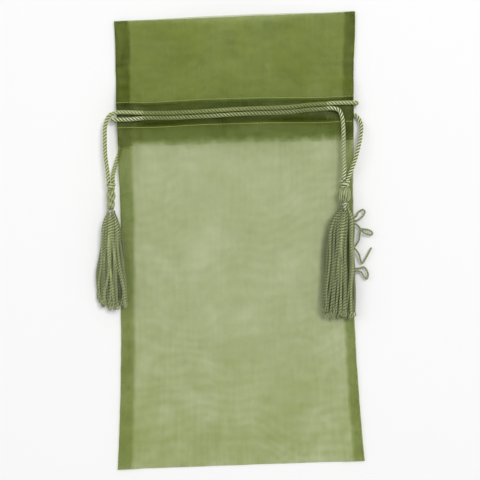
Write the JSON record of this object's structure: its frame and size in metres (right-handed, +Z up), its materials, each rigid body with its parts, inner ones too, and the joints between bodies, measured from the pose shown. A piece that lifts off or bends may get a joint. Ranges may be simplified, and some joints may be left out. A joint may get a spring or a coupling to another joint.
{
  "type": "fabric gift sack",
  "caption": "Sheer organza gift sack with a stitched drawstring casing below an open mouth, and two twisted cords that each end in a tassel at one side.",
  "frame": {"origin": "centre of the sack's underside, on the surface it lies on, measured without the cords and tassels", "axes": "+X across the width, +Y from the folded base to the open mouth, +Z up from the surface the sack lies on"},
  "size_m": [0.1918, 0.307, 0.0156],
  "materials": {
    "sheer_green_organza": "sheer satin",
    "folded_green_organza": "sheer satin, doubled",
    "pale_green_thread": "satin thread",
    "green_rayon_cord": "silky twisted",
    "pale_flecked_cord": "silky twisted",
    "sage_rayon_yarn": "silky yarn",
    "light_binding_thread": "satin thread"
  },
  "bodies": {
    "sack": {"back_panel": "sheer_green_organza", "front_panel": "sheer_green_organza", "back_hem": "folded_green_organza", "front_hem": "folded_green_organza", "left_seam_allowance": "folded_green_organza", "right_seam_allowance": "folded_green_organza", "front_upper_stitching": "pale_green_thread", "front_lower_stitching": "pale_green_thread", "back_upper_stitching": "pale_green_thread", "back_lower_stitching": "pale_green_thread", "left_side_stitching": "pale_green_thread", "right_side_stitching": "pale_green_thread", "left_cord_run": "green_rayon_cord", "right_cord_run": "pale_flecked_cord"},
    "left_cord_legs": {"left_cord_front_leg": "green_rayon_cord", "left_cord_back_leg": "green_rayon_cord"},
    "left_knot": {"left_cord_knot": "green_rayon_cord"},
    "left_tassel": {"left_tassel_head": "sage_rayon_yarn", "left_tassel_binding": "light_binding_thread", "left_tassel_skirt": "sage_rayon_yarn"},
    "right_cord_legs": {"right_cord_front_leg": "pale_flecked_cord", "right_cord_back_leg": "pale_flecked_cord"},
    "right_knot": {"right_cord_knot": "pale_flecked_cord"},
    "right_tassel": {"right_tassel_head": "sage_rayon_yarn", "right_tassel_binding": "light_binding_thread", "right_tassel_skirt": "sage_rayon_yarn", "right_stray_loop_upper": "sage_rayon_yarn", "right_stray_loop_middle": "sage_rayon_yarn", "right_stray_bent_strand": "sage_rayon_yarn", "right_stray_loop_lower": "sage_rayon_yarn"}
  },
  "joints": [
    {"name": "left_swing", "type": "hinge", "parent": "sack", "child": "left_cord_legs", "pos_m": [-0.0803, 0.086, 0.005], "axis": [0, 0, -1], "range_deg": [0, 110], "deforming": ["left_cord_front_leg", "left_cord_back_leg"]},
    {"name": "left_draw", "type": "slide", "parent": "left_cord_legs", "child": "left_knot", "axis": [0, -1, 0], "range_m": [0, 0.12], "deforming": ["left_cord_front_leg", "left_cord_back_leg"]},
    {"name": "left_tassel_pivot", "type": "hinge", "parent": "left_knot", "child": "left_tassel", "pos_m": [-0.08483, 0.038, 0.0088], "axis": [0, 0, -1], "range_deg": [-5, 60]},
    {"name": "right_swing", "type": "hinge", "parent": "sack", "child": "right_cord_legs", "pos_m": [0.0745, 0.086, 0.005], "axis": [0, 0, 1], "range_deg": [0, 110], "deforming": ["right_cord_front_leg", "right_cord_back_leg"]},
    {"name": "right_draw", "type": "slide", "parent": "right_cord_legs", "child": "right_knot", "axis": [0, -1, 0], "range_m": [0, 0.12], "deforming": ["right_cord_front_leg", "right_cord_back_leg"]},
    {"name": "right_tassel_pivot", "type": "hinge", "parent": "right_knot", "child": "right_tassel", "pos_m": [0.07381, 0.036, 0.0088], "axis": [0, 0, 1], "range_deg": [-5, 60]}
  ]
}
